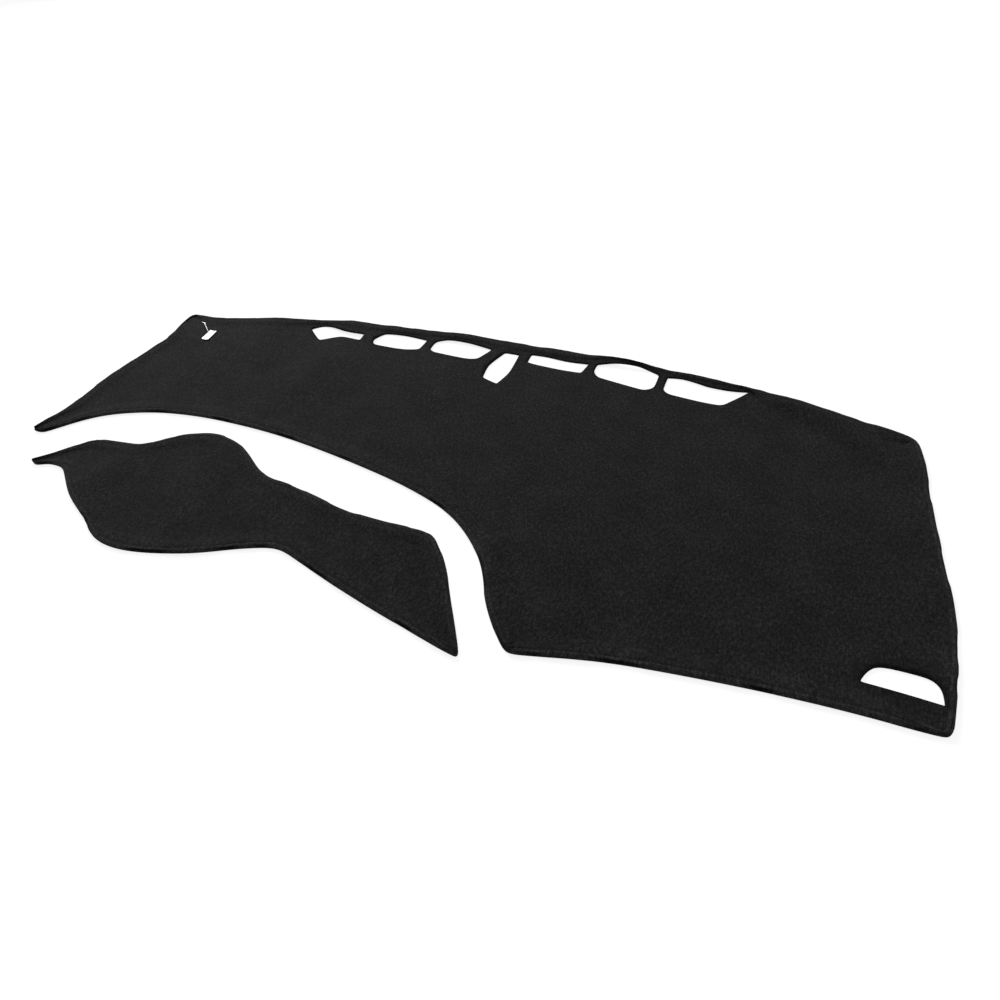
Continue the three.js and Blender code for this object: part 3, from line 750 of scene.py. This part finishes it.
def smooth_route(points, steps):
    """A smooth line through the points, passing each one."""
    points = [Vector(p) for p in points]
    ends = [points[0] * 2 - points[1], *points, points[-1] * 2 - points[-2]]
    route = []
    for i in range(1, len(ends) - 2):
        a, b, c, d = ends[i - 1:i + 3]
        for k in range(steps):
            t = k / steps
            route.append(0.5 * (2 * b + (c - a) * t + (2 * a - 5 * b + 4 * c - d) * t ** 2
                                + (3 * b - a - 3 * c + d) * t ** 3))
    return [*route, points[-1]]


def pin_piece(material):
    """The pin: a paddle under the felt, a thin filament and a bar with rounded ends."""
    hole = Vector((*PIN_HOLE, PADDLE_HEIGHT))
    label_top = LABEL_BASE + LABEL_THICKNESS
    bar = Vector((*BAR_CENTRE, BAR_HEIGHT))
    loop = [hole.lerp(bar, share).xy.to_3d() + Vector((0, 0, label_top + rise * LOOP_HEIGHT))
            for share, rise in LOOP_ROUTE]
    above_hole = hole.xy.to_3d() + Vector((0, 0, label_top))
    route = smooth_route([hole, above_hole, *loop, bar], LOOP_STEPS)
    vertices, faces = swept(route, [FILAMENT_RADIUS] * len(route), FILAMENT_SIDES)

    side = Vector((math.cos(BAR_TURN), math.sin(BAR_TURN), 0))
    half = BAR_LENGTH / 2
    more, quads = swept([bar + side * half * share for share, _ in BAR_PROFILE],
                        [BAR_RADIUS * fullness for _, fullness in BAR_PROFILE],
                        BAR_SIDES, len(vertices))
    vertices.extend(more)
    faces.extend(quads)

    width, length, thickness = PADDLE_SIZE
    paddle, quads = plate(length, width, thickness, PADDLE_ROUND, curl=0, rows=12, columns=6)
    base = len(vertices)
    lowest = hole - Vector((0, 0, thickness / 2))
    vertices.extend(lowest + Vector(v) for v in paddle)
    faces.extend(tuple(base + v for v in face) for face in quads)

    piece = add_object("pin", mesh_of("pin", vertices, faces), material)
    piece.data.set_sharp_from_angle(angle=PIN_EDGE_ANGLE)
    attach(piece, "root")
    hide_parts("tag_pin")
    return piece


# Stage

def floor_material():
    """A white floor that still shows the object's own shadow."""
    n = Nodes("pale_floor")
    n.set(Base_Color=FLOOR_COLOUR, Roughness=0.9)
    glow = n.add("ShaderNodeEmission")
    mix = n.add("ShaderNodeMixShader")
    path = n.add("ShaderNodeLightPath")
    seen = n.math("MAXIMUM", path.outputs["Is Camera Ray"], path.outputs["Is Glossy Ray"])
    n.link(n.math("MULTIPLY", seen, FLOOR_GLOW), mix.inputs["Fac"])
    n.link(n.shader.outputs[0], mix.inputs[1])
    n.link(glow.outputs[0], mix.inputs[2])
    n.link(mix.outputs[0], n.output.inputs["Surface"])
    return n.material


def build_floor():
    half = FLOOR_SIDE / 2
    corners = [(-half, -half, 0), (half, -half, 0), (half, half, 0), (-half, half, 0)]
    floor = add_object("floor", mesh_of("floor", corners, [(0, 1, 2, 3)]), floor_material())


def soft_light(name, place, target, size, power):
    """A round lamp that shines at its target."""
    light = bpy.data.lights.new(name, "AREA")
    light.shape = "DISK"
    light.size = size
    light.energy = power
    lamp = bpy.data.objects.new(name, light)
    lamp.location = place
    lamp.rotation_euler = (Vector(target) - Vector(place)).to_track_quat("-Z", "Y").to_euler()
    bpy.context.scene.collection.objects.link(lamp)


def build_world():
    """Even light all round, seen as plain white."""
    world = bpy.data.worlds.new("studio")
    world.use_nodes = True
    tree = world.node_tree
    background = tree.nodes["Background"]
    path = tree.nodes.new("ShaderNodeLightPath")
    seen = tree.nodes.new("ShaderNodeMath")
    seen.operation = "MAXIMUM"
    tree.links.new(path.outputs["Is Camera Ray"], seen.inputs[0])
    tree.links.new(path.outputs["Is Glossy Ray"], seen.inputs[1])
    strength = tree.nodes.new("ShaderNodeMapRange")
    tree.links.new(seen.outputs[0], strength.inputs["Value"])
    strength.inputs["To Min"].default_value = WORLD_LEVEL
    strength.inputs["To Max"].default_value = 1
    tree.links.new(strength.outputs["Result"], background.inputs["Strength"])
    background.inputs["Color"].default_value = WORLD_COLOUR
    bpy.context.scene.world = world


def build_camera():
    data = bpy.data.cameras.new("camera")
    data.lens = CAMERA_LENS
    data.sensor_width = CAMERA_SENSOR
    camera = bpy.data.objects.new("camera", data)
    turn = (Matrix.Rotation(CAMERA_HEADING, 4, "Z")
            @ Matrix.Rotation(math.pi / 2 - CAMERA_DIP, 4, "X")
            @ Matrix.Rotation(CAMERA_ROLL, 4, "Z"))
    camera.matrix_world = Matrix.Translation(CAMERA_PLACE) @ turn
    bpy.context.scene.collection.objects.link(camera)
    bpy.context.scene.camera = camera


build_camera()
build_world()
build_floor()
soft_light("key", KEY_PLACE, (0, 0, 0), KEY_SIZE, KEY_POWER)
felt = felt_material()
thread = thread_material()
felt_sheet("main_mat", "main_sheet", felt, thread, random.Random(MAIN_SEED))
felt_sheet("hood_mat", "hood_sheet", felt, thread, random.Random(HOOD_SEED))
label_piece(card_material())
pin_piece(nylon_material())
bpy.context.scene.view_settings.view_transform = "Standard"
